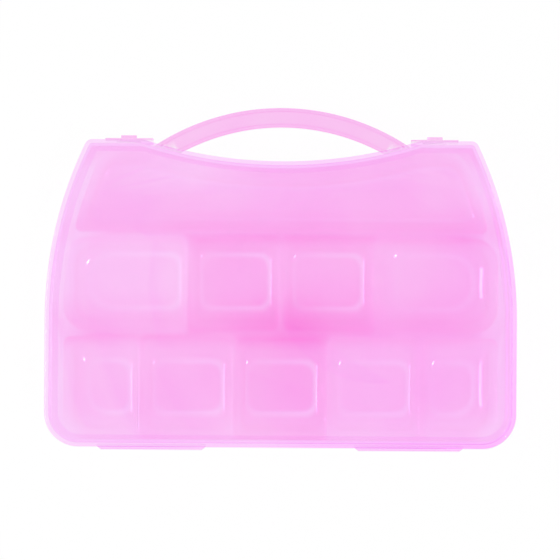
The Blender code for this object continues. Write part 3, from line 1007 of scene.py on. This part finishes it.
def even_depth_with_left_light(place):
    """The plastic's usual depth of colour, with painted light: a little paler towards the left side, where
    more light falls.
    """
    return 1.0 + left_light_lean * place.x / (outline_width / 2)


def outline_distance(place):
    """How far inside the case's outline a place lies."""
    height = place.y - outline_low
    corner_x = abs(place.x) - (outline_width / 2 - lower_corner_radius)
    corner_y = lower_corner_radius - height
    if corner_x > 0.0 and corner_y > 0.0:
        return lower_corner_radius - math.hypot(corner_x, corner_y)
    return min(side_reach(height, 0.0) - abs(place.x), height, top_edge(place.x, 0.0) - height)


def sticks_out(place):
    """Whether a place is on one of the latch roots or keepers, outside the upper wall."""
    on_root = 2 * back_edge_radius < place.z < base_depth - bead_depth
    on_keeper = base_depth + 2 * seat_gap < place.z < bead_low - 2 * seat_gap
    return place.y > wall_top - seat_gap and (on_root or on_keeper)


def wall_depth_and_shade(place):
    """Deeper in the raised bead, and deeper with painted shade in the bead and the walls towards the lower
    right.
    """
    if sticks_out(place):
        return overlap_depth
    distance = outline_distance(place)
    if distance > bead_overhang + wall_thickness:
        return even_depth_with_left_light(place)
    height_share = 2 * (place.y - outline_low) / outline_height - 1.0
    # Painted shade towards the lower right
    lean = max(0.0, (place.x / (outline_width / 2) - height_share) / 2)
    on_bead = distance < bead_width + seat_gap and place.z > bead_low - seat_gap / 2
    if on_bead or distance < bead_overhang - rim_edge_radius / 2:
        low_gain = bead_low_gain if place.y < outline_low + bead_overhang else 0.0
        return even_depth_with_left_light(place) + bead_gain + low_gain + bead_shade_lean * lean
    return even_depth_with_left_light(place) + wall_shade_gain * lean


def leaf_density(place):
    """Paler where the hinge leaves lie over the case."""
    return leaf_depth if place.y < outline_low + seat_gap / 2 else overlap_depth


def latch_density(place):
    """Paler where the latches lie over the case."""
    return 1.0 if place.y > wall_top + bead_overhang else overlap_depth


def handle_density(place):
    """A little deeper in the handle's two flanges than in its web, pale where its feet meet the case."""
    radius = math.hypot(place.x, place.y - (outline_low + handle_top_height - handle_outer_radius))
    off_middle = abs(radius - (handle_outer_radius - handle_band / 2))
    if place.y - outline_low < top_edge(place.x, 0.0):
        return handle_foot_tone
    on_flange = off_middle > handle_band / 2 - handle_flange_thickness - seat_gap
    return handle_flange_tone if on_flange else handle_web_tone


dress(make_base(), case_looks, wall_depth_and_shade, "case_base", "case_plastic", "base_shell")
dress(make_tray(), tray_looks, None, "case_base", "tray_plastic", "compartment_tray")
dress(make_lid(), lid_looks, wall_depth_and_shade, "case_lid", "lid_plastic", "lid")
dress(make_handle(), handle_looks, handle_density, "case_base", "handle_plastic", "carry_handle")
leaf_base_high = base_depth - seat_gap / 2
leaf_lid_low = base_depth + seat_gap / 2
for side, word in ((-1, "left"), (1, "right")):
    dress(make_latch(word, side), latch_looks, latch_density, "latch_" + word, "latch_plastic",
          "latch_" + word)
    dress(make_leaf("base_leaf_" + word, side, leaf_base_high - hinge_leaf_thickness, leaf_base_high),
          case_looks, leaf_density, "case_base", "case_plastic", "base_hinge_leaf_" + word)
    dress(make_leaf("lid_leaf_" + word, side, leaf_lid_low, leaf_lid_low + hinge_leaf_thickness),
          lid_looks, leaf_density, "case_lid", "lid_plastic", "lid_hinge_leaf_" + word)


# Table, light and camera

def direct_view(tree):
    """1 for rays that show the background to the eye, straight, mirrored or through glass."""
    path = node(tree, "ShaderNodeLightPath")
    seen = path.outputs["Is Camera Ray"]
    for kind in ("Is Glossy Ray", "Is Transmission Ray"):
        either = node(tree, "ShaderNodeMath", operation="MAXIMUM")
        tree.links.new(seen, either.inputs[0])
        tree.links.new(path.outputs[kind], either.inputs[1])
        seen = either.outputs[0]
    return seen


def make_floor():
    """A wide white table that keeps a soft shadow."""
    cage = bmesh.new()
    bmesh.ops.create_grid(cage, x_segments=1, y_segments=1, size=table_reach)
    floor = mesh_object("table", cage)
    material = bpy.data.materials.new("table_white")
    tree = empty_tree(material)
    paint = node(tree, "ShaderNodeBsdfDiffuse", {"Color": table_colour})
    light = node(tree, "ShaderNodeEmission", {"Strength": 1.0})
    seen = mixed(tree, table_shadow_share, light.outputs[0], paint.outputs[0])
    chosen = mixed(tree, direct_view(tree), paint.outputs[0], seen)
    output = node(tree, "ShaderNodeOutputMaterial")
    tree.links.new(chosen, output.inputs["Surface"])
    floor.data.materials.append(material)


def make_world():
    """Even white light from all round, before a background that is seen as white."""
    world = bpy.data.worlds.new("studio")
    bpy.context.scene.world = world
    tree = empty_tree(world)
    even, white = [node(tree, "ShaderNodeBackground", {"Color": (1.0, 1.0, 1.0, 1.0), "Strength": strength})
                   for strength in (world_strength, 1.0)]
    chosen = mixed(tree, direct_view(tree), even.outputs[0], white.outputs[0])
    output = node(tree, "ShaderNodeOutputWorld")
    tree.links.new(chosen, output.inputs["Surface"])


def make_lamp(name, place, size, power):
    """A square soft lamp aimed at the case."""
    data = bpy.data.lights.new(name, "AREA")
    data.shape = "SQUARE"
    data.size = size
    data.energy = power
    lamp = bpy.data.objects.new(name, data)
    bpy.context.scene.collection.objects.link(lamp)
    lamp.location = place
    lamp.rotation_euler = (Vector(lamp_aim) - Vector(place)).to_track_quat("-Z", "Y").to_euler()


def make_camera():
    """The photograph's view: from far above the lid, almost square to it."""
    data = bpy.data.cameras.new("camera")
    camera = bpy.data.objects.new("camera", data)
    bpy.context.scene.collection.objects.link(camera)
    data.sensor_width = camera_sensor_width
    data.lens = camera_lens
    aim = Vector((camera_aim_x, camera_aim_y, case_depth))
    place = aim + camera_distance * Vector((math.sin(camera_side_angle), 0.0, 1.0))
    back = (place - aim).normalized()
    up = Vector((-math.sin(camera_roll), math.cos(camera_roll), 0.0))
    across = up.cross(back).normalized()
    up = back.cross(across)
    turned = Matrix((across, up, back)).transposed().to_4x4()
    camera.matrix_world = Matrix.Translation(place) @ turned
    bpy.context.scene.camera = camera


make_floor()
make_world()
for name, settings in lamps.items():
    make_lamp(name, **settings)
make_camera()
bpy.context.scene.view_settings.view_transform = "Standard"
rays = bpy.context.scene.cycles
rays.transparent_max_bounces = film_faces_in_a_row
rays.transmission_bounces = veil_faces_in_a_row
rays.max_bounces = veil_faces_in_a_row
